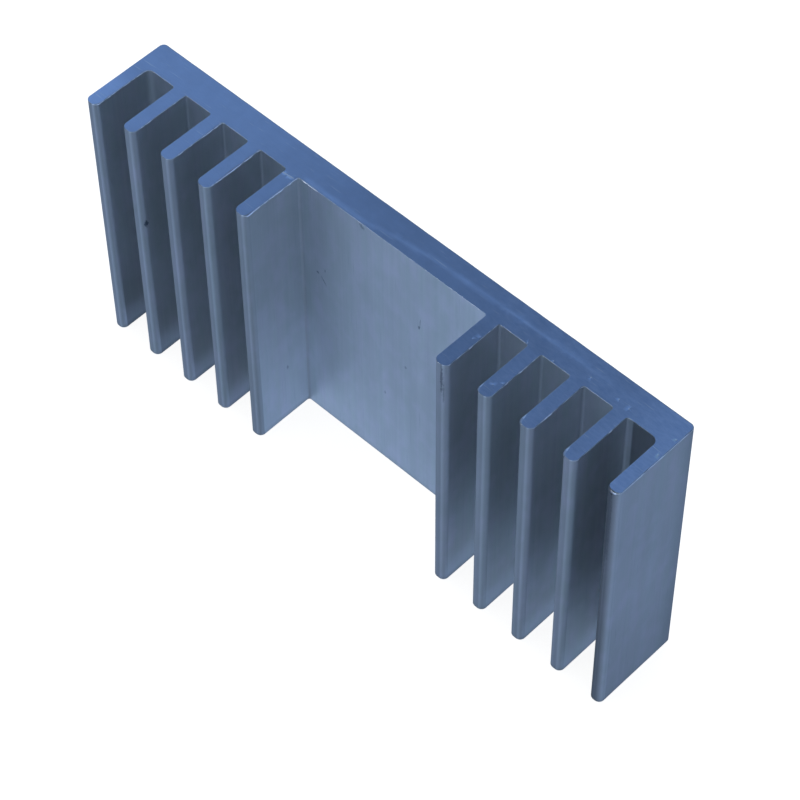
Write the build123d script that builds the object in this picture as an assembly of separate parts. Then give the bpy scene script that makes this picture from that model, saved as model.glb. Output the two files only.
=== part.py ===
"""Extruded aluminium heat sink for a device on a circuit board.

One length of a comb-shaped extrusion, sawn square at both ends: a flat base plate
with a bank of fins at each end of it and a clear bay between the banks, where the
device seats. It stands on its lower sawn end, so the fins run straight up.

Frame: +X along the base plate, +Y out of the plate's plain rear face, +Z along
the extrusion. The origin is the centre of the lower sawn end's outline.
"""
from build123d import *
import os

# Driving dimensions, in millimetres
plate_length = 100.0
cut_length = 50.0
plate_thickness = 5.0
fin_reach = 10.3
fin_thickness = 2.3
end_fin_thickness = 2.15
fin_pitch = 7.5
fins_per_bank = 5
tip_radius = 0.95
root_radius = 0.4
end_root_radius = 1.1
rear_corner_radius = 0.8

# Where the faces of the profile lie
rear_y = (plate_thickness + fin_reach) / 2
seat_y = rear_y - plate_thickness
tip_y = seat_y - fin_reach
end_x = plate_length / 2


def fin_walls():
    """Left and right wall of every fin, from the left end to the right end."""
    inner_walls = []
    for step in range(1, fins_per_bank):
        right = end_x - step * fin_pitch
        inner_walls.append((right - fin_thickness, right))
    right_bank = [(end_x - end_fin_thickness, end_x)] + inner_walls
    left_bank = [(-right, -left) for left, right in right_bank]
    return sorted(left_bank + right_bank)


def block(left, right, low, high):
    """A rectangle of the profile, given by its four sides."""
    centre = ((left + right) / 2, (low + high) / 2)
    return Pos(*centre) * Rectangle(right - left, high - low)


def corners_on(profile, line_y, left, right):
    """The corners of the profile that lie on one line of constant Y."""
    close = 1e-4
    return [
        corner
        for corner in profile.vertices()
        if abs(corner.Y - line_y) < close and left - close < corner.X < right + close
    ]


def heat_sink_profile():
    """The die's outline: plate and fins, with the tips, roots and corners rounded."""
    walls = fin_walls()
    profile = block(-end_x, end_x, seat_y, rear_y)
    for left, right in walls:
        profile += block(left, right, tip_y, seat_y)

    # The end channels have a fuller root where they meet the outermost fins
    inner_face_x = end_x - end_fin_thickness
    end_roots = corners_on(profile, seat_y, -inner_face_x, -inner_face_x)
    end_roots += corners_on(profile, seat_y, inner_face_x, inner_face_x)
    profile = fillet(end_roots, end_root_radius)

    second_fin_x = end_x - fin_pitch
    roots = corners_on(profile, seat_y, -second_fin_x, second_fin_x)
    profile = fillet(roots, root_radius)

    tips = corners_on(profile, tip_y, -end_x, end_x)
    profile = fillet(tips, tip_radius)

    rear_corners = corners_on(profile, rear_y, -end_x, end_x)
    return fillet(rear_corners, rear_corner_radius)


def heat_sink():
    """The sawn length of extrusion, standing on its lower end."""
    body = extrude(heat_sink_profile(), amount=cut_length)
    return body.clean()


os.makedirs("parts", exist_ok=True)
export_step(heat_sink(), "parts/heat_sink.step")
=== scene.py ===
"""Looks of the extruded heat sink: sawn ends, die lines, worn edges and burrs, in soft window light."""
import bmesh
import bpy
import math
import random
from mathutils import Matrix, Vector, geometry, noise


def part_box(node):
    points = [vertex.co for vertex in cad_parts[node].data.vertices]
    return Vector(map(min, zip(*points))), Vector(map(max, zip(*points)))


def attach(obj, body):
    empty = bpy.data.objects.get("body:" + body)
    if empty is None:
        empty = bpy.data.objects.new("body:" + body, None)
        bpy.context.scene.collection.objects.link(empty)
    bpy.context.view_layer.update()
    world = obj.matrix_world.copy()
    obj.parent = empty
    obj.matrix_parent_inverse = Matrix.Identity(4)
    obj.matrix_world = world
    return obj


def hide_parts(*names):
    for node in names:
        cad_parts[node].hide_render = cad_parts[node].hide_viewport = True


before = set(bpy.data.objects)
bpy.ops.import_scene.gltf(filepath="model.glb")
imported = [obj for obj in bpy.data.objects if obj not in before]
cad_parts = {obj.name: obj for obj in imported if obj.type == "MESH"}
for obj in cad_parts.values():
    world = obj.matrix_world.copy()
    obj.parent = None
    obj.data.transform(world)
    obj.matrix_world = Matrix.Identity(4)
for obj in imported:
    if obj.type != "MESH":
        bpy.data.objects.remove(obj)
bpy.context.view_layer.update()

# The section, in metres, with the sizes of the extrusion's drawing
MM = 0.001
PLATE = 5.0 * MM
FIN = 2.3 * MM
END_FIN = 2.15 * MM
PITCH = 7.5 * MM
FINS_PER_BANK = 5
TIP_RADIUS = 0.95 * MM
ROOT_RADIUS = 0.4 * MM
END_ROOT_RADIUS = 1.1 * MM
REAR_RADIUS = 0.8 * MM

low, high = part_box("heat_sink")
end_x = high.x
rear_y = high.y
tip_y = low.y
round_y = tip_y + TIP_RADIUS
seat_y = rear_y - PLATE

# How finely the skin is made
WALL_STEP = 0.25 * MM
ARC_STEPS = 10
MIDDLE_RINGS = 12
FACE_STEP = 0.6 * MM
FACE_SHAKE = 0.25
FACE_CLEAR = 0.3 * FACE_STEP
FACE_SEED = 7
CRUMB_SPOKES = 8
CRUMB_RINGS = (0.45, 1.0)
MERGE_DISTANCE = 1e-6

# The camera, where the photograph was taken from, as fitted to the object's edges
EYE = Vector((0.18153, -0.18151, 0.35173))
AIM = Vector((0.00591, -0.00188, 0.025))
ROLL = -0.592
FOCAL_PIXELS = 2932.5
PHOTO_WIDTH = 800
SENSOR = 36.0
NEAREST = 0.01
FARTHEST = 50.0


def add_camera():
    """A camera on the object, turned by the photograph's slight roll."""
    data = bpy.data.cameras.new("camera")
    data.sensor_width = SENSOR
    data.lens = FOCAL_PIXELS / PHOTO_WIDTH * SENSOR
    data.clip_start = NEAREST
    data.clip_end = FARTHEST
    camera = bpy.data.objects.new("camera", data)
    bpy.context.scene.collection.objects.link(camera)
    turn = (AIM - EYE).to_track_quat("-Z", "Y").to_matrix().to_4x4()
    camera.matrix_world = Matrix.Translation(EYE) @ turn @ Matrix.Rotation(math.radians(ROLL), 4, "Z")
    bpy.context.scene.camera = camera


# The section's outline

def fin_walls():
    """Left and right wall of every fin, from the left end to the right end."""
    inner = [(end_x - step * PITCH - FIN, end_x - step * PITCH) for step in range(1, FINS_PER_BANK)]
    right_bank = inner + [(end_x - END_FIN, end_x)]
    left_bank = [(-right, -left) for left, right in right_bank]
    return sorted(left_bank + right_bank)


WALLS = fin_walls()
BAY_LEFT = WALLS[FINS_PER_BANK - 1][1]


def outline_corners():
    """The outline's corners, anticlockwise from above, each with its radius."""
    corners = []
    last = len(WALLS) - 1
    for number, (left, right) in enumerate(WALLS):
        if number > 0:
            corners.append((Vector((left, seat_y)), END_ROOT_RADIUS if number == last else ROOT_RADIUS))
        corners.append((Vector((left, tip_y)), TIP_RADIUS))
        corners.append((Vector((right, tip_y)), TIP_RADIUS))
        if number < last:
            corners.append((Vector((right, seat_y)), END_ROOT_RADIUS if number == 0 else ROOT_RADIUS))
    corners.append((Vector((end_x, rear_y)), REAR_RADIUS))
    corners.append((Vector((-end_x, rear_y)), REAR_RADIUS))
    return corners


def wall_points(start, end):
    """Evenly spaced points strictly between two places on a straight wall, with its outward normal."""
    along = end - start
    steps = max(2, round(along.length / WALL_STEP))
    normal = Vector((along.y, -along.x)).normalized()
    return [(start + along * (step / steps), normal) for step in range(1, steps)]


def rounded_outline():
    """Points round the outline with their outward normals: arcs at the corners, even steps between."""
    corners = outline_corners()
    count = len(corners)
    points = []
    ends = []
    for number, (corner, radius) in enumerate(corners):
        before = (corners[number - 1][0] - corner).normalized()
        after = (corners[(number + 1) % count][0] - corner).normalized()
        centre = corner + (before + after) * radius
        outward = 1.0 if before.x * after.y - before.y * after.x < 0 else -1.0
        start = corner + before * radius
        if ends:
            points += wall_points(ends[-1], start)
        ends += [start, corner + after * radius]
        for step in range(ARC_STEPS + 1):
            angle = math.pi / 2 * step / ARC_STEPS
            spoke = -after * math.cos(angle) - before * math.sin(angle)
            points.append((centre + spoke * radius, spoke * outward))
    return points + wall_points(ends[-1], ends[0])


# Smooth changes, for shapes and tones

def clamped(value):
    """The value, held between 0 and 1."""
    return min(1.0, max(0.0, value))


def ramp(value, start, end):
    """0 before start, 1 after end, smooth between."""
    t = clamped((value - start) / (end - start))
    return t * t * (3 - 2 * t)


def hump(value, middle, half):
    """1 at the middle, falling smoothly to 0 at the half width."""
    return 1 - ramp(abs(value - middle), 0.0, half)


def rise(amount, start, end):
    """A change of tone that grows from start to end, as a function of the place."""
    return lambda value: amount * ramp(value, start, end)


def fade(amount, start, end):
    """A change of tone that dies away from start to end."""
    return lambda value: amount * (1 - ramp(value, start, end))


def band(amount, middle, half):
    """A change of tone round a middle."""
    return lambda value: amount * hump(value, middle, half)


def spot(amount, middle, half):
    """A change of tone round a middle in two directions."""
    return lambda x, z: amount * hump(x, middle[0], half[0]) * hump(z, middle[1], half[1])


# Patterns of smooth variation: each one's own layer of the noise, and its cells per metre
PATTERNS = {
    "die_fine": (0.3, 800.0),
    "die_broad": (0.7, 200.0),
    "sawn_broad": (0.2, 180.0),
    "sawn_fine": (0.9, 420.0),
    "lower_end": (5.2, 200.0),
    "burr_broad": (9.1, 500.0),
    "burr_fine": (2.2, 1900.0),
    "edge_wear": (3.1, 600.0),
    "end_sparkle": (5.3, 700.0),
    "bank_sparkle": (4.4, 900.0),
    "pass_line": (4.0, 300.0),
    "cloud": (7.7, 350.0),
    "grain": (1.3, 1100.0),
}


def ripple(name, x, y):
    """Smooth variation between about -1 and 1 in one of the patterns, the same on each run."""
    layer, grain = PATTERNS[name]
    return noise.noise(Vector((x, y, layer)) * grain)


# What the die, the saw and handling left on the metal

DIE_LINE_DEPTH = 0.008 * MM
DIE_FINE_SHARE = 0.35
DIE_SETBACK = 1.3


def die_line(point):
    """How far the wall stands back at this place along the outline; the same all the way up."""
    lines = DIE_FINE_SHARE * ripple("die_fine", point.x, point.y) + ripple("die_broad", point.x, point.y)
    return DIE_LINE_DEPTH * (lines - DIE_SETBACK)


# The upper end was sawn in two passes: the second one ran in from the bay and left a low step
SECOND_PASS_START = -5.6 * MM
SECOND_PASS_REACH = 2.3 * MM
SECOND_PASS_CURVE = 9.0 * MM
SECOND_PASS_LIP = 0.35 * MM
SECOND_PASS_END = 44.0 * MM
PASS_FADE_IN = 1.5 * MM
PASS_FADE_OUT = 6.0 * MM
STEP_DROP = 0.045 * MM
STEP_WIDTH = 0.12 * MM
UPPER_ALLOWANCE = 0.05 * MM
SAWN_WAVE = 0.004 * MM
SAWN_RIPPLE = 0.003 * MM


def step_line(x):
    """Where the step between the two saw passes runs, across the plate."""
    run = max(0.0, x - SECOND_PASS_START)
    return seat_y + SECOND_PASS_LIP + SECOND_PASS_REACH * (1 - math.exp(-run / SECOND_PASS_CURVE))


def second_pass(x):
    """0 left of the bay, where the second pass didn't reach, and 1 from just inside it."""
    return ramp(x, BAY_LEFT, BAY_LEFT + PASS_FADE_IN)


# Crumbs of metal that the saw left standing: place on the upper end and radius, in millimetres
CRUMB_HEIGHT = 0.06 * MM
CRUMB_FALL = 3
CRUMBS = [
    (24.9, 2.85, 0.12),
    (29.4, 2.95, 0.10),
    (34.8, 4.30, 0.12),
    (39.8, 4.10, 0.10),
    (41.8, 3.80, 0.12),
    (27.1, -4.40, 0.09),
    (28.2, -3.50, 0.08),
    (26.3, -5.40, 0.08),
    (19.7, -0.75, 0.09),
    (19.2, -1.60, 0.08),
    (49.5, 4.20, 0.12),
    (49.4, 0.80, 0.12),
]
RIDGE_START = (-19.95, 1.86)
RIDGE_END = (-18.1, 2.02)
RIDGE_RADIUS = 0.14
RIDGE_CRUMBS = 12


def ridge():
    """A scraped ridge over the fifth fin's base, as a row of crumbs."""
    row = []
    for number in range(RIDGE_CRUMBS):
        share = number / (RIDGE_CRUMBS - 1)
        x, y = (start + share * (end - start) for start, end in zip(RIDGE_START, RIDGE_END))
        row.append((x, y, RIDGE_RADIUS))
    return row


CRUMBS += ridge()


def upper_end(x, y):
    """Height of the upper sawn face."""
    wave = SAWN_WAVE * ripple("sawn_broad", x, y) + SAWN_RIPPLE * ripple("sawn_fine", x, y)
    lowered = second_pass(x) * (1 - ramp(x, SECOND_PASS_END - PASS_FADE_OUT, SECOND_PASS_END))
    below = 1 - ramp(y - step_line(x), 0.0, STEP_WIDTH)
    height = high.z - UPPER_ALLOWANCE + wave - STEP_DROP * lowered * below
    for crumb_x, crumb_y, radius in CRUMBS:
        near = ((x / MM - crumb_x) ** 2 + (y / MM - crumb_y) ** 2) / radius ** 2
        height += CRUMB_HEIGHT * math.exp(-CRUMB_FALL * near)
    return min(high.z, height)


def on_crumb(x, y):
    """Whether a place on the upper end is on one of the crumbs."""
    across, deep = x / MM, y / MM
    return any(math.hypot(across - crumb_x, deep - crumb_y) < radius for crumb_x, crumb_y, radius in CRUMBS)


def lower_end(x, y):
    """Height of the lower sawn face, which rests on the table."""
    return low.z + SAWN_WAVE * (1 + ripple("lower_end", x, y))


# A wall faces a way where its outward normal's share along X or Y is beyond these
SLIGHTLY_RIGHT = 0.3
MOSTLY_RIGHT = 0.5
SQUARELY_RIGHT = 0.9
SLIGHTLY_LEFT = -0.2
MOSTLY_FRONT = -0.5

# Burrs hanging off the right-hand upper edges, where the saw left the metal: fin, reach, how unbroken
BURRS = {
    0: (0.05 * MM, 0.3),
    1: (0.04 * MM, 0.1),
    2: (0.06 * MM, 0.3),
    3: (0.07 * MM, 0.3),
    4: (0.08 * MM, 0.5),
    5: (0.05 * MM, 0.0),
    6: (0.05 * MM, 0.1),
    7: (0.05 * MM, 0.1),
    8: (0.04 * MM, -0.2),
}
BURR_FINE_SHARE = 0.9
BURR_CONTRAST = 1.6
# Metal pushed out to the left at the tips of some fins
TIP_BURRS = {6: 0.10 * MM, 7: 0.16 * MM, 8: 0.16 * MM}
TIP_BURR_Y = tip_y + 2 * TIP_RADIUS
# The burr along the left part of the bay's front edge
BAY_BURR = 0.05 * MM
BAY_BURR_UNBROKEN = 0.5
BAY_BURR_END = -13.8 * MM


def burr(point, normal):
    """Reach of the burr at the upper edge."""
    patch = ripple("burr_broad", point.x, point.y) + BURR_FINE_SHARE * ripple("burr_fine", point.x, point.y)
    for number, (reach, unbroken) in BURRS.items():
        right = WALLS[number][1]
        if normal.x > SLIGHTLY_RIGHT and abs(point.x - right) < TIP_RADIUS and point.y < seat_y:
            return reach * normal.x * clamped(BURR_CONTRAST * patch + unbroken)
    for number, reach in TIP_BURRS.items():
        left = WALLS[number][0]
        if normal.x < SLIGHTLY_LEFT and abs(point.x - left) < TIP_RADIUS and point.y < TIP_BURR_Y:
            return reach * -normal.x * (1 - ramp(point.y, round_y, TIP_BURR_Y))
    if normal.y < MOSTLY_FRONT and point.y > TIP_BURR_Y and BAY_LEFT < point.x < BAY_BURR_END:
        return BAY_BURR * clamped(BURR_CONTRAST * patch + BAY_BURR_UNBROKEN)
    return 0.0


# Width of the worn upper edge in millimetres: plainly, how much more where it faces right, and at
# the rear and the right end
WORN = 0.05
WORN_MORE_RIGHT = 0.03
WORN_REAR = 0.11
WORN_END = 0.12
# How much more at the front of the last fin's tip, and how fast that falls off round the tip
WORN_MORE_LAST_TIP = 0.25
LAST_TIP_FALL = 1.5
# How much wider for each millimetre of burr, and how uneven
WORN_PER_BURR = 1.7
WORN_UNEVENLY = 0.35


def edge_break(point, normal):
    """Width of the worn edge where a wall meets the upper end."""
    width = WORN + WORN_MORE_RIGHT * max(0.0, normal.x)
    if point.y > rear_y - REAR_RADIUS:
        width = WORN_REAR
    if normal.x > SLIGHTLY_RIGHT and point.x > end_x - REAR_RADIUS:
        width = WORN_END
    if point.x > end_x - END_FIN and point.y < round_y:
        width = WORN + WORN_MORE_LAST_TIP * max(0.0, -normal.y) ** LAST_TIP_FALL
    width += WORN_PER_BURR * burr(point, normal) / MM
    return width * MM * (1 + WORN_UNEVENLY * ripple("edge_wear", point.x, point.y))


# The worn edge's rings from the upper end down: turn round the edge in degrees, and share of the burr
EDGE_RINGS = [(0, 0.0), (15, 0.15), (30, 0.35), (45, 0.55), (60, 0.75), (75, 0.85), (90, 0.9)]
UNDER_EDGE = 0.12 * MM
# How far from the ends the other rings lie
LAST_WALL_RING = 0.5 * MM
MIDDLE_RINGS_FROM = 1.0 * MM
# The lower edge: how much is broken off it, and its rings' shares of that upward and inward
LOWER_BREAK = 0.08 * MM
LOWER_RINGS = [(0.4, 0.35), (1.3, 0.0)]


def edge_ring(outline, turn, burr_share):
    """One ring round the upper end's worn edge."""
    points = []
    for point, normal in outline:
        width = edge_break(point, normal)
        angle = math.radians(turn)
        out = die_line(point) - width * (1 - math.sin(angle)) + burr_share * burr(point, normal)
        place = point + normal * out
        height = upper_end(point.x, point.y) - width * (1 - math.cos(angle))
        points.append(Vector((min(place.x, end_x), place.y, min(height, high.z))))
    return points


def under_edge(outline):
    """The ring just under the worn edge, where the wall is straight again."""
    points = []
    for point, normal in outline:
        place = point + normal * die_line(point)
        height = upper_end(point.x, point.y) - edge_break(point, normal) - UNDER_EDGE
        points.append(Vector((place.x, place.y, height)))
    return points


def wall_ring(outline, height, inset=0.0):
    """One ring round the walls at one height."""
    return [Vector((*(point + normal * (die_line(point) - inset)), height)) for point, normal in outline]


# How light each place is, as a share of the plain metal's tone, set to meet the photograph.
# Some of it stands for shade and reflections, which stay on the metal in every view.

# The tips, by their turn in degrees: -180 faces left, -90 front and 0 right. Their tone is painted sheen,
# painted highlight and painted shade by the way each part faces; the left bank's tips are a little darker
TIP_TONE = 0.58
TIP_LEFT = rise(0.06, -110.0, -95.0)
TIP_PAINTED_SHEEN = rise(0.34, -90.0, -70.0)
TIP_PAINTED_HIGHLIGHT = band(0.24, -65.0, 22.0)
LEFT_TIPS = 0.93
RIGHT_TIPS = 1.02
LAST_TIP_TONE = 0.24
LAST_TIP_PAINTED_SHEEN = rise(0.80, -105.0, -48.0)
LAST_TIP_PAINTED_HIGHLIGHT = band(0.08, -37.0, 14.0)
LAST_TIP_SHADE = band(-0.1, -12.0, 14.0)

# Painted shade and painted light on the walls that face right, by height or, toward the rear, by depth in
# millimetres
END_FACE_FOOT = fade(-0.14, 0.0, 24.0)
END_FACE_REAR = rise(-0.16, 4.0, 7.2)
RIGHT_WALLS_GLOW = band(0.33, 9.0, 14.0)
RIGHT_WALLS_SHADE = band(-0.18, 30.0, 16.0)
BAY_WALL_TONE = 1.06
BAY_WALL_FOOT = fade(0.26, 0.0, 38.0)
LEFT_WALLS_TONE = 0.97
LEFT_WALLS_FOOT = fade(1.0, 4.0, 22.0)
# Painted shade darkens the left bank's walls toward the foot, the first one most and the others less by the
# millimetre
FIRST_WALL_X = -48.0
FIRST_WALL_DARKER = 0.43
DARKER_LOST = 0.012

# Painted light and painted shade on the bay's floor, across the plate and by height in millimetres, and
# painted shade in its left root corner
SEAT_FOOT = fade(0.12, 0.0, 24.0)
SEAT_RIGHT = rise(0.09, 6.0, 18.0)
SEAT_GLOW = spot(0.16, (-15.5, 12.0), (4.0, 16.0))
SEAT_SHADE = spot(-0.08, (-14.0, 12.0), (6.0, 14.0))
BAY_CORNER_SHADE = 0.97

# The channels' floors: painted shade in the left bank's, and in the last channel a painted light stripe by
# its left corner and painted shade across the rest
LEFT_CHANNELS_END = WALLS[FINS_PER_BANK - 1][0]
LEFT_CHANNEL_FLOOR_SHADE = 0.90
LAST_CHANNEL_LEFT = WALLS[-2][1] + 0.1 * MM
LAST_CHANNEL_RIGHT = WALLS[-1][0] + 0.05 * MM
LAST_CHANNEL_CORNER_WIDTH = 0.9 * MM
LAST_CHANNEL_CORNER_LIGHT = 1.1
LAST_CHANNEL_FLOOR_SHADE = 0.50


def tip_tone(point, normal):
    """Painted sheen on the fins' tips by the way each part faces: dull on the left, with a painted highlight
    right of the middle, and on the last tip painted shade toward its right.
    """
    turn = math.degrees(math.atan2(normal.y, normal.x))
    if turn > 90:
        turn -= 360
    if point.x > end_x - END_FIN:
        return LAST_TIP_TONE + LAST_TIP_PAINTED_SHEEN(turn) + LAST_TIP_PAINTED_HIGHLIGHT(turn) + LAST_TIP_SHADE(turn)
    return TIP_TONE + TIP_LEFT(turn) + TIP_PAINTED_SHEEN(turn) + TIP_PAINTED_HIGHLIGHT(turn)


def wall_tone(point, normal, height):
    """Tone of the drawn walls: painted shade, painted light and painted reflections by place, by height and
    by the way each wall faces.
    """
    x, y, z = point.x / MM, point.y / MM, height / MM
    faces_right = normal.x > SQUARELY_RIGHT
    at_root = seat_y - ROOT_RADIUS < point.y < seat_y + ROOT_RADIUS
    tone = 1.0
    if point.y < round_y:
        tone = tip_tone(point, normal) * (LEFT_TIPS if x < 0 else RIGHT_TIPS)
    elif faces_right and point.x > end_x - REAR_RADIUS:
        tone = (1 + END_FACE_FOOT(z)) * (1 + END_FACE_REAR(y))
    elif faces_right and point.x < LEFT_CHANNELS_END:
        darker = FIRST_WALL_DARKER - DARKER_LOST * (x - FIRST_WALL_X)
        tone = LEFT_WALLS_TONE - darker * LEFT_WALLS_FOOT(z)
    elif faces_right and point.x > -BAY_LEFT:
        tone = 1 + RIGHT_WALLS_GLOW(z) + RIGHT_WALLS_SHADE(z)
    elif faces_right:
        tone = BAY_WALL_TONE + BAY_WALL_FOOT(z)
    elif BAY_LEFT < point.x < -BAY_LEFT and normal.y < 0:
        tone = 1 + SEAT_FOOT(z) + SEAT_GLOW(x, z) + SEAT_RIGHT(x) + SEAT_SHADE(x, z)
    elif point.x < LEFT_CHANNELS_END and at_root:
        tone = LEFT_CHANNEL_FLOOR_SHADE
    # Painted light and painted shade on the last channel's floor
    by_last_root = seat_y - END_ROOT_RADIUS < point.y < seat_y + ROOT_RADIUS
    if LAST_CHANNEL_LEFT < point.x < LAST_CHANNEL_RIGHT and by_last_root:
        in_corner = point.x < LAST_CHANNEL_LEFT + LAST_CHANNEL_CORNER_WIDTH
        tone *= LAST_CHANNEL_CORNER_LIGHT if in_corner else LAST_CHANNEL_FLOOR_SHADE
    # Painted shade in the bay's left root corner
    if abs(point.x - BAY_LEFT) < ROOT_RADIUS and at_root:
        tone *= BAY_CORNER_SHADE
    return tone


# The upper worn edges, as shares of the walls' tone: the rear edge darker, and painted glints scattered
# along the right end's and the right bank's edges
END_EDGE = 0.85
REAR_EDGE = 0.6
RIGHT_BANK_EDGES = 0.75
EDGE_PAINTED_GLINTS = 0.5


def edge_tone(point, normal):
    """Tone of the upper worn edges, as a share of the wall's, with painted glints along the right end and
    the right bank.
    """
    if normal.x > SLIGHTLY_RIGHT and point.x > end_x - REAR_RADIUS and point.y > round_y:
        return END_EDGE + EDGE_PAINTED_GLINTS * ripple("end_sparkle", point.x, point.y)
    if point.y > seat_y + ROOT_RADIUS:
        return REAR_EDGE
    if normal.x > MOSTLY_RIGHT and point.x > 0:
        return RIGHT_BANK_EDGES + EDGE_PAINTED_GLINTS * ripple("bank_sparkle", point.x, point.y)
    return 1.0


# Painted shade and painted light on the upper sawn face, from left to right in millimetres
FACE_MIDDLE = rise(-0.23, -36.0, 0.0)
FACE_RIGHT = rise(0.09, 14.0, 34.0)
FACE_RIGHT_END = rise(0.27, 38.0, 50.0)
FACE_LEFT_END = fade(0.20, -50.0, -42.0)
FACE_FRONT_SHADE = band(-0.08, 20.0, 12.0)
BELOW_LINE_SHADE = band(-0.07, 26.0, 12.0)
# From front to rear in millimetres
OVER_FINS = fade(1.0, -3.0, 0.0)
OVER_FRONT = fade(1.0, 0.0, 2.5)
OVER_PLATE = rise(1.0, 2.0, 2.6)
# A painted highlight along the step between the two saw passes, and painted shade on the metal below it
STEP_HIGHLIGHT_TONE = 0.24
LINE_WIDTH = 0.26 * MM
LINE_EVEN = 0.8
LINE_BROKEN = 0.6
LINE_END = fade(1.0, 24.0, 44.0)
BELOW_LINE = fade(1.0, -0.5 * MM, 0.0)
# A painted highlight on the crumbs, over their rubbed-bright metal
CRUMB_PAINTED_HIGHLIGHT = 0.4
CLOUD_TONE = 0.05
GRAIN_TONE = 0.04


def top_tone(x, y):
    """Tone of the upper sawn face: darker in the middle by painted shade, with a painted highlight along the
    step between the two saw passes.
    """
    across, deep = x / MM, y / MM
    tone = 1 + FACE_MIDDLE(across) + FACE_RIGHT(across) + FACE_RIGHT_END(across)
    tone += FACE_LEFT_END(across) * OVER_FINS(deep)
    tone += FACE_FRONT_SHADE(across) * OVER_FRONT(deep)
    away = (y - step_line(x) - STEP_WIDTH / 2) / LINE_WIDTH
    line = STEP_HIGHLIGHT_TONE * second_pass(x) * LINE_END(across) * math.exp(-away * away)
    tone += line * (LINE_EVEN + LINE_BROKEN * ripple("pass_line", x, 0.0))
    tone += BELOW_LINE_SHADE(across) * BELOW_LINE(y - step_line(x)) * OVER_PLATE(deep)
    if on_crumb(x, y):
        tone += CRUMB_PAINTED_HIGHLIGHT
    return tone + CLOUD_TONE * ripple("cloud", x, y) + GRAIN_TONE * ripple("grain", x, y)


# The skin

WALL, SAWN, EDGE = range(3)
# Past these, a burr or a worn edge is rubbed bright
BRIGHT_BURR = 0.02 * MM
BRIGHT_EDGE = 0.17 * MM
STEP_LINE_START = BAY_LEFT + 0.5 * MM


def inside_section(x, y, clear):
    """Whether a place is within the section, at least this far from its outline."""
    if abs(x) > end_x - clear or y > rear_y - clear:
        return False
    if abs(x) > end_x - REAR_RADIUS and y > rear_y - REAR_RADIUS:
        return False
    if y > seat_y + clear:
        return True
    if y < tip_y + TIP_RADIUS / 2 + clear:
        return False
    for left, right in WALLS:
        if left + clear < x < right - clear:
            inset = max(0.0, round_y - y)
            return left + clear + inset < x < right - clear - inset
    return False


def face_points(avoid):
    """Points inside the outline, shaken off their grid, clear of the outline and of the lines to avoid."""
    shaken = random.Random(FACE_SEED)
    columns = round(2 * end_x / FACE_STEP)
    rows = round((rear_y - tip_y) / FACE_STEP)
    points = []
    for column in range(columns + 1):
        for row in range(rows + 1):
            x = -end_x + (column + shaken.uniform(-FACE_SHAKE, FACE_SHAKE)) * FACE_STEP
            y = tip_y + (row + shaken.uniform(-FACE_SHAKE, FACE_SHAKE)) * FACE_STEP
            if inside_section(x, y, FACE_CLEAR) and all(abs(y - line(x)) > FACE_CLEAR for line in avoid):
                points.append(Vector((x, y)))
    return points


def crumb_points():
    """Each crumb's middle and the points round it, in millimetres."""
    points = []
    for x, y, radius in CRUMBS:
        points.append(Vector((x, y)))
        for turn in range(CRUMB_SPOKES):
            angle = math.radians(360 / CRUMB_SPOKES * turn)
            spoke = Vector((math.cos(angle), math.sin(angle)))
            points += [Vector((x, y)) + spoke * radius * share for share in CRUMB_RINGS]
    return points


def cap(mesh, ring, height_at, with_step):
    """Closes one end with fine triangles that follow the sawn face's height."""
    tone = mesh.verts.layers.float["tone"]
    places = [vert.co.xy / MM for vert in ring]
    count = len(places)
    avoid = []
    lines = []
    if with_step:
        steps = round((SECOND_PASS_END - STEP_LINE_START) / FACE_STEP)
        for offset in (0.0, STEP_WIDTH):
            avoid.append(lambda x, offset=offset: step_line(x) + offset)
            first = len(places)
            for step in range(steps + 1):
                x = STEP_LINE_START + (SECOND_PASS_END - STEP_LINE_START) * step / steps
                places.append(Vector((x, step_line(x) + offset)) / MM)
            lines += [(i, i + 1) for i in range(first, first + steps)]
        places += crumb_points()
    places += [point / MM for point in face_points(avoid)]
    outer = [list(range(count))]
    flat, _, faces, origin, _, _ = geometry.delaunay_2d_cdt(places, lines, outer, 1, MERGE_DISTANCE)
    verts = []
    for place, came_from in zip(flat, origin):
        if came_from and came_from[0] < count:
            verts.append(ring[came_from[0]])
        else:
            x, y = place * MM
            vert = mesh.verts.new((x, y, height_at(x, y)))
            vert[tone] = top_tone(x, y)
            verts.append(vert)
    for corners in faces:
        face = mesh.faces.new([verts[i] for i in corners])
        middle = face.calc_center_median()
        face.material_index = EDGE if with_step and on_crumb(middle.x, middle.y) else SAWN
        face.smooth = True


def skin_levels(outline):
    """Places round the skin at each level from the foot up, and the number of the first worn level."""
    levels = [[Vector((p.x, p.y, lower_end(p.x, p.y))) for p in wall_ring(outline, 0.0, LOWER_BREAK)]]
    for upward, inward in LOWER_RINGS:
        levels.append(wall_ring(outline, low.z + upward * LOWER_BREAK, inward * LOWER_BREAK))
    inner_low = low.z + MIDDLE_RINGS_FROM
    inner_high = high.z - MIDDLE_RINGS_FROM
    for step in range(MIDDLE_RINGS + 1):
        levels.append(wall_ring(outline, inner_low + (inner_high - inner_low) * step / MIDDLE_RINGS))
    levels.append(wall_ring(outline, high.z - LAST_WALL_RING))
    levels.append(under_edge(outline))
    worn = [edge_ring(outline, turn, burr_share) for turn, burr_share in reversed(EDGE_RINGS)]
    return levels + worn, len(levels)


def wall_faces(mesh, outline, rings, first_worn):
    """Joins each ring to the next, with bright faces where the upper edge is much worn."""
    bright = []
    for point, normal in outline:
        bright.append(burr(point, normal) > BRIGHT_BURR or edge_break(point, normal) > BRIGHT_EDGE)
    count = len(outline)
    for level, (below, above) in enumerate(zip(rings, rings[1:])):
        for i in range(count):
            j = (i + 1) % count
            face = mesh.faces.new((below[i], below[j], above[j], above[i]))
            face.smooth = True
            face.material_index = EDGE if level >= first_worn and (bright[i] or bright[j]) else WALL


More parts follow.
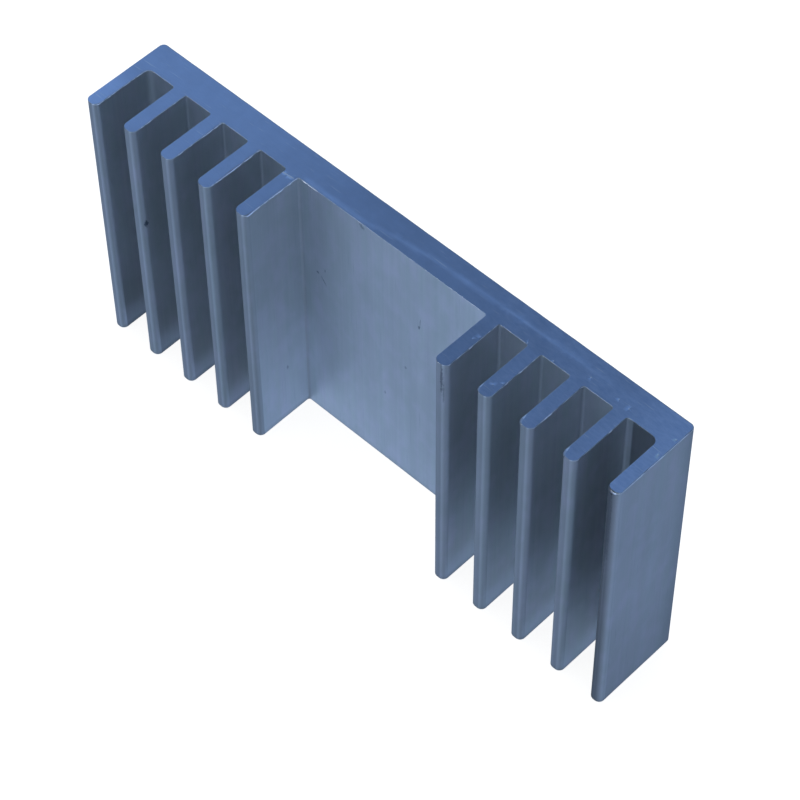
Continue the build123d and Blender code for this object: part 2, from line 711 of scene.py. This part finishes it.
def build_body():
    """The whole extrusion as one closed skin."""
    outline = rounded_outline()
    mesh = bmesh.new()
    tone = mesh.verts.layers.float.new("tone")
    levels, first_worn = skin_levels(outline)
    rings = []
    for level, places in enumerate(levels):
        ring = []
        for place, (point, normal) in zip(places, outline):
            vert = mesh.verts.new(place)
            vert[tone] = wall_tone(point, normal, place.z)
            if level >= first_worn:
                vert[tone] *= edge_tone(point, normal)
            if level == len(levels) - 1:
                vert[tone] = top_tone(point.x, point.y)
            ring.append(vert)
        rings.append(ring)
    wall_faces(mesh, outline, rings, first_worn)
    cap(mesh, rings[-1], upper_end, True)
    cap(mesh, rings[0], lower_end, False)
    mesh.normal_update()
    bmesh.ops.recalc_face_normals(mesh, faces=mesh.faces)
    for edge in mesh.edges:
        kinds = {face.material_index == SAWN for face in edge.link_faces}
        edge.smooth = len(kinds) == 1

    data = bpy.data.meshes.new("heat_sink_body")
    mesh.to_mesh(data)
    mesh.free()
    body = bpy.data.objects.new("heat_sink_body", data)
    bpy.context.scene.collection.objects.link(body)
    return body


# Nodes of the materials and of the room

def add_node(tree, kind, inputs, **settings):
    """A node with its settings, whose inputs each take a plain value or another node's output."""
    node = tree.nodes.new("ShaderNode" + kind)
    for name, value in settings.items():
        setattr(node, name, value)
    for name, value in inputs.items():
        if isinstance(value, bpy.types.NodeSocket):
            tree.links.new(value, node.inputs[name])
        else:
            node.inputs[name].default_value = value
    return node


# The noise's plain roughness, and where most of its values lie
NOISE_ROUGHNESS = 0.55
NOISE_LOW = 0.3
NOISE_HIGH = 0.7


def streaks(tree, scale, detail, roughness=NOISE_ROUGHNESS, turn=0.0):
    """Noise stretched differently along each axis, turned about Z in degrees."""
    place = add_node(tree, "TexCoord", {})
    stretch = add_node(tree, "Mapping", {
        "Vector": place.outputs["Object"],
        "Rotation": (0.0, 0.0, math.radians(turn)),
        "Scale": scale,
    })
    pattern = add_node(tree, "TexNoise", {
        "Vector": stretch.outputs["Vector"],
        "Scale": 1.0,
        "Detail": detail,
        "Roughness": roughness,
    })
    return pattern.outputs["Fac"]


def between(tree, value, low_value, high_value, start=NOISE_LOW, end=NOISE_HIGH):
    """Maps a pattern's range to two limits."""
    spread = add_node(tree, "MapRange", {
        "Value": value,
        "From Min": start,
        "From Max": end,
        "To Min": low_value,
        "To Max": high_value,
    })
    return spread.outputs["Result"]


def two_tones(tree, value, dark, light):
    """Mixes two colours by a value; the first may be another node's colour."""
    first = (*dark, 1.0) if isinstance(dark, tuple) else dark
    mix = add_node(tree, "Mix", {"A": first, "B": (*light, 1.0), "Factor": value}, data_type="RGBA")
    return mix.outputs["Result"]


def sums(tree, first, second, operation="ADD"):
    """Two values added, or put together by another operation."""
    return add_node(tree, "Math", {0: first, 1: second}, operation=operation).outputs["Value"]


# Small stains and scuffs, and one painted shade: centre and half size in millimetres, lean in degrees,
# strength
SEAT_Y_MM = seat_y / MM
TIP_Y_MM = tip_y / MM
WALL_X_MM = BAY_LEFT / MM
STAINS_AND_SHADE = {
    "bay_tick": ((5.5, SEAT_Y_MM, 37.7), (0.10, 0.5, 1.1), 4.0, 0.45),
    "bay_tick_foot": ((5.3, SEAT_Y_MM, 36.6), (0.24, 0.5, 0.42), 0.0, 0.85),
    "bay_fleck_low": ((-14.6, SEAT_Y_MM, 32.2), (0.3, 0.5, 0.3), 40.0, 0.55),
    "bay_fleck_high": ((-13.1, SEAT_Y_MM, 33.6), (0.14, 0.5, 0.5), 0.0, 0.5),
    "bay_fleck_middle": ((-13.4, SEAT_Y_MM, 31.1), (0.14, 0.5, 0.9), -35.0, 0.5),
    "wall_fleck": ((WALL_X_MM, -1.4, 11.3), (0.5, 0.25, 0.5), 0.0, 0.4),
    "bay_nick": ((-5.5, SEAT_Y_MM, 49.3), (0.7, 0.5, 0.4), 45.0, 0.45),
    "bay_fleck_right": ((2.6, SEAT_Y_MM, 25.3), (0.25, 0.5, 0.3), 0.0, 0.35),
    "bay_fleck_foot": ((-1.5, SEAT_Y_MM, 15.9), (0.2, 0.5, 0.4), 0.0, 0.35),
    "tip_fleck": ((-40.25, TIP_Y_MM + 0.75, 30.3), (0.35, 0.4, 0.85), 0.0, 0.9),
    "tip_scratch": ((19.2, TIP_Y_MM, 46.8), (0.24, 0.5, 3.6), 0.0, 0.62),
    "tip_scratch_low": ((19.5, TIP_Y_MM, 44.6), (0.13, 0.5, 3.0), 0.0, 0.4),
    # Painted shade down the last fin's tip, not a stain
    "end_tip_shade": ((48.7, TIP_Y_MM, 44.0), (0.5, 0.9, 14.0), 0.0, 0.45),
}
STAIN_AND_SHADE_COLOUR = (0.12, 0.14, 0.17)
# The broken edges of the stains and of the painted shade: their pattern, how far they are broken, and where
# each fades out
STAIN_AND_SHADE_EDGES = ((5000.0, 5000.0, 2500.0), 2.0)
STAIN_AND_SHADE_BROKEN = 0.35
STAIN_AND_SHADE_FADE = (0.5, 1.0)


def stained_and_shaded(tree, colour):
    """Darkens a colour where the stains and the painted shade are, with broken edges."""
    place = add_node(tree, "TexCoord", {})
    broken = between(tree, streaks(tree, *STAIN_AND_SHADE_EDGES), -STAIN_AND_SHADE_BROKEN, STAIN_AND_SHADE_BROKEN)
    for name, (centre, half, lean, strength) in STAINS_AND_SHADE.items():
        fit = add_node(tree, "Mapping", {
            "Vector": place.outputs["Object"],
            "Location": Vector(centre) * MM,
            "Rotation": (0.0, math.radians(lean), 0.0),
            "Scale": Vector(half) * MM,
        }, label=name, vector_type="TEXTURE")
        away = add_node(tree, "VectorMath", {0: fit.outputs["Vector"]}, operation="LENGTH")
        ragged = sums(tree, away.outputs["Value"], broken)
        colour = two_tones(tree, between(tree, ragged, strength, 0.0, *STAIN_AND_SHADE_FADE), colour, STAIN_AND_SHADE_COLOUR)
    return colour


# Materials

# Each material's patterns: cells per metre along each axis, detail, roughness and turn in degrees.
# Its layers are colours laid over the first two: by which pattern, how strong from its low values
# to its high ones, where those lie, and the colour.
DRAWN_PATTERNS = {
    "broad": ((480.0, 480.0, 7.0), 3.0),
    "fine": ((1500.0, 1500.0, 16.0), 5.0, 0.72),
    "cloud": ((170.0, 170.0, 75.0), 3.0, 0.6),
    "patch": ((380.0, 380.0, 210.0), 2.0),
    "hair": ((5200.0, 5200.0, 90.0), 1.0),
}
DRAWN_COOL = (0.685, 0.730, 0.720)
DRAWN_WARM = (0.725, 0.725, 0.755)
DRAWN_LAYERS = [
    ("fine", (0.16, 0.0), (NOISE_LOW, NOISE_HIGH), (0.42, 0.46, 0.50)),
    ("cloud", (0.38, 0.0), (NOISE_LOW, NOISE_HIGH), (0.50, 0.55, 0.53)),
    ("patch", (0.0, 0.40), (0.45, 0.75), (0.80, 0.76, 0.86)),
    ("hair", (0.0, 0.3), (0.70, 0.80), (0.32, 0.35, 0.40)),
]
DRAWN_ROUGHNESS = (0.53, 0.43)
DRAWN_ANISOTROPY = 0.5

SAWN_PATTERNS = {
    "lines": ((70.0, 3800.0, 70.0), 3.0, 0.6, -1.5),
    "grain": ((700.0, 1900.0, 700.0), 4.0, 0.7, 28.0),
    "scratch": ((260.0, 4200.0, 260.0), 2.0, 0.5, -52.0),
}
# The sawn metal's two colours, both tinted blue as a painted reflection of the bluish light from above
SAWN_DARK = (0.515, 0.61, 0.765)
SAWN_LIGHT = (0.675, 0.75, 0.89)
SAWN_LAYERS = [
    ("lines", (0.10, 0.0), (NOISE_LOW, NOISE_HIGH), (0.50, 0.54, 0.60)),
    ("scratch", (0.0, 0.7), (0.66, 0.74), (0.95, 0.95, 0.95)),
]
SAWN_ROUGHNESS = (0.42, 0.52)
# How much the two colours mottle the sawn face, which is more toward the right
MOTTLE = 0.5
MOTTLE_LEFT = 0.35
MOTTLE_RISES = (8 * MM, 22 * MM)

BURNISHED_PATTERN = ((1500.0, 1500.0, 1500.0), 2.0)
BURNISHED_DARK = (0.76, 0.77, 0.80)
BURNISHED_LIGHT = (0.90, 0.90, 0.91)
BURNISHED_ROUGHNESS = (0.30, 0.50)
RELIEF_DEPTH = 0.005 * MM


def new_material(name):
    """A material, with its tree and its shader."""
    material = bpy.data.materials.new(name)
    material.use_nodes = True
    return material, material.node_tree, material.node_tree.nodes["Principled BSDF"]


def layered(tree, patterns, layers, colour):
    """Lays each layer's colour over the colours before it, as strongly as its pattern says."""
    for name, strengths, limits, laid in layers:
        colour = two_tones(tree, between(tree, patterns[name], *strengths, *limits), colour, laid)
    return colour


def toned(tree, colour):
    """Scales a colour by the tone stored on the skin at each place, which holds painted shade, painted light
    and painted reflections besides the metal's own variations.
    """
    tone = add_node(tree, "Attribute", {}, attribute_name="tone")
    scaled = add_node(tree, "VectorMath", {0: colour, "Scale": tone.outputs["Fac"]}, operation="SCALE")
    return scaled.outputs["Vector"]


def finish_metal(tree, shader, colour, gloss, roughness):
    """Makes the shader a metal of this colour, with a roughness that follows a pattern."""
    shader.inputs["Metallic"].default_value = 1.0
    tree.links.new(toned(tree, colour), shader.inputs["Base Color"])
    tree.links.new(between(tree, gloss, *roughness), shader.inputs["Roughness"])


def relief(tree, shader, value):
    """Raises the surface slightly by a pattern."""
    bump = add_node(tree, "Bump", {"Height": value, "Distance": RELIEF_DEPTH, "Strength": 1.0})
    tree.links.new(bump.outputs["Normal"], shader.inputs["Normal"])


def drawn_metal():
    """Mill-finish aluminium as it leaves the die: long streaks in tone, gloss and relief."""
    material, tree, shader = new_material("drawn_aluminium")
    patterns = {name: streaks(tree, *pattern) for name, pattern in DRAWN_PATTERNS.items()}
    colour = two_tones(tree, between(tree, patterns["broad"], 0.0, 1.0), DRAWN_COOL, DRAWN_WARM)
    colour = stained_and_shaded(tree, layered(tree, patterns, DRAWN_LAYERS, colour))
    finish_metal(tree, shader, colour, patterns["fine"], DRAWN_ROUGHNESS)
    relief(tree, shader, patterns["fine"])
    shader.inputs["Anisotropic"].default_value = DRAWN_ANISOTROPY
    tangent = add_node(tree, "Tangent", {}, direction_type="RADIAL", axis="Z")
    tree.links.new(tangent.outputs["Tangent"], shader.inputs["Tangent"])
    return material


def sawn_metal():
    """The ends left by the saw: satin, with lines along the blade's travel, grain and bright scratches."""
    material, tree, shader = new_material("sawn_aluminium")
    patterns = {name: streaks(tree, *pattern) for name, pattern in SAWN_PATTERNS.items()}
    place = add_node(tree, "TexCoord", {})
    split = add_node(tree, "SeparateXYZ", {"Vector": place.outputs["Object"]})
    right = between(tree, split.outputs["X"], MOTTLE_LEFT, 1.0, *MOTTLE_RISES)
    mottle = sums(tree, between(tree, patterns["grain"], -MOTTLE, MOTTLE), right, "MULTIPLY")
    colour = two_tones(tree, between(tree, mottle, 0.0, 1.0, -MOTTLE, MOTTLE), SAWN_DARK, SAWN_LIGHT)
    colour = layered(tree, patterns, SAWN_LAYERS, colour)
    finish_metal(tree, shader, colour, patterns["grain"], SAWN_ROUGHNESS)
    relief(tree, shader, sums(tree, patterns["lines"], patterns["grain"]))
    return material


def burnished_metal():
    """Edges rubbed bright by the saw and by handling."""
    material, tree, shader = new_material("burnished_edge")
    rub = streaks(tree, *BURNISHED_PATTERN)
    colour = two_tones(tree, between(tree, rub, 0.0, 1.0), BURNISHED_DARK, BURNISHED_LIGHT)
    finish_metal(tree, shader, colour, rub, BURNISHED_ROUGHNESS)
    return material


# The room

# The two base colours, and how far from level they mix
SKY_BASE = (0.030, 0.058, 0.116)
GROUND_BASE = (0.050, 0.065, 0.095)
HORIZON = 0.15
# Soft areas of light round the object: heading and height in degrees, half width in degrees, colour.
# Their colours and the base colours come from a fit to the photograph, rounded and partly changed.
GLOWS = {
    "window_right": ((5.0, 0.0), 55.0, (0.60, 0.85, 1.45)),
    "window_front": ((-90.0, 0.0), 40.0, (0.70, 0.97, 1.50)),
    "ceiling_front": ((-60.0, 40.0), 40.0, (0.23, 0.29, 0.24)),
    "sky_left": ((165.0, 35.0), 45.0, (0.23, 0.37, 0.66)),
    "wall_back": ((100.0, 0.0), 40.0, (0.34, 0.45, 0.64)),
    "table_left": ((-145.0, -42.0), 38.0, (0.315, 0.43, 0.645)),
    "table_right": ((45.0, -52.0), 40.0, (0.072, 0.103, 0.148)),
    "table_front": ((-45.0, -52.0), 40.0, (0.08, 0.11, 0.15)),
    "lamp_front": ((-119.0, 26.0), 11.0, (6.6, 6.9, 7.2)),
    "lamp_right": ((29.0, 26.0), 16.0, (0.40, 0.60, 0.95)),
}


def toward(heading, height):
    """Unit vector by compass heading from +X toward +Y and height above the horizon."""
    flat = math.cos(math.radians(height))
    turn = math.radians(heading)
    return Vector((flat * math.cos(turn), flat * math.sin(turn), math.sin(math.radians(height))))


def soft_world():
    """A world of two base colours with soft glows, read by direction."""
    world = bpy.data.worlds.new("soft_room")
    bpy.context.scene.world = world
    world.use_nodes = True
    tree = world.node_tree
    place = add_node(tree, "TexCoord", {})
    unit = add_node(tree, "VectorMath", {0: place.outputs["Generated"]}, operation="NORMALIZE")
    heading = unit.outputs["Vector"]
    split = add_node(tree, "SeparateXYZ", {"Vector": heading})
    upward = between(tree, split.outputs["Z"], 0.0, 1.0, -HORIZON, HORIZON)
    total = two_tones(tree, upward, GROUND_BASE, SKY_BASE)
    for name, (middle, half_width, colour) in GLOWS.items():
        facing = add_node(tree, "VectorMath", {0: heading, 1: toward(*middle)}, operation="DOT_PRODUCT")
        facing.label = name
        fall = add_node(tree, "MapRange", {
            "Value": facing.outputs["Value"],
            "From Min": math.cos(math.radians(half_width)),
            "From Max": 1.0,
        }, interpolation_type="SMOOTHSTEP")
        glow = add_node(tree, "VectorMath", {0: colour, "Scale": fall.outputs["Result"]}, operation="SCALE")
        lit = add_node(tree, "VectorMath", {0: total, 1: glow.outputs["Vector"]}, operation="ADD")
        total = lit.outputs["Vector"]
    tree.links.new(total, tree.nodes["Background"].inputs["Color"])


FLOOR_HALF = 10.0
FLOOR_GLOW = 0.90
FLOOR_TONE = 0.14
FLOOR_ROUGHNESS = 0.9
PANEL_SIZE = 0.7
PANEL_POWER = 14.0
PANEL_PLACE = (-0.12, 0.10, 0.9)


def pale_floor():
    """A plain floor for the camera alone: from below, the metal mirrors the room's lower half."""
    data = bpy.data.meshes.new("floor")
    corners = [(-FLOOR_HALF, -FLOOR_HALF), (FLOOR_HALF, -FLOOR_HALF)]
    corners += [(x, -y) for x, y in reversed(corners)]
    data.from_pydata([(x, y, low.z) for x, y in corners], [], [(0, 1, 2, 3)])
    floor = bpy.data.objects.new("floor", data)
    bpy.context.scene.collection.objects.link(floor)
    material, tree, shader = new_material("pale_floor")
    shader.inputs["Base Color"].default_value = (FLOOR_TONE, FLOOR_TONE, FLOOR_TONE, 1.0)
    shader.inputs["Roughness"].default_value = FLOOR_ROUGHNESS
    shader.inputs["Specular IOR Level"].default_value = 0.0
    shader.inputs["Emission Color"].default_value = (1.0, 1.0, 1.0, 1.0)
    shader.inputs["Emission Strength"].default_value = FLOOR_GLOW
    data.materials.append(material)
    floor.visible_glossy = False
    floor.visible_diffuse = False
    floor.visible_shadow = False
    return floor


def floor_light(floor):
    """An overhead panel that lights only the floor, for a faint soft shadow."""
    data = bpy.data.lights.new("floor_panel", "AREA")
    data.shape = "DISK"
    data.size = PANEL_SIZE
    data.energy = PANEL_POWER
    panel = bpy.data.objects.new("floor_panel", data)
    panel.location = PANEL_PLACE
    bpy.context.scene.collection.objects.link(panel)
    lit = bpy.data.collections.new("lit_by_panel")
    lit.objects.link(floor)
    panel.light_linking.receiver_collection = lit


bpy.context.scene.view_settings.view_transform = "Standard"
add_camera()
soft_world()
floor = pale_floor()
floor_light(floor)

body = build_body()
for material in (drawn_metal(), sawn_metal(), burnished_metal()):
    body.data.materials.append(material)
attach(body, "root")
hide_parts("heat_sink")
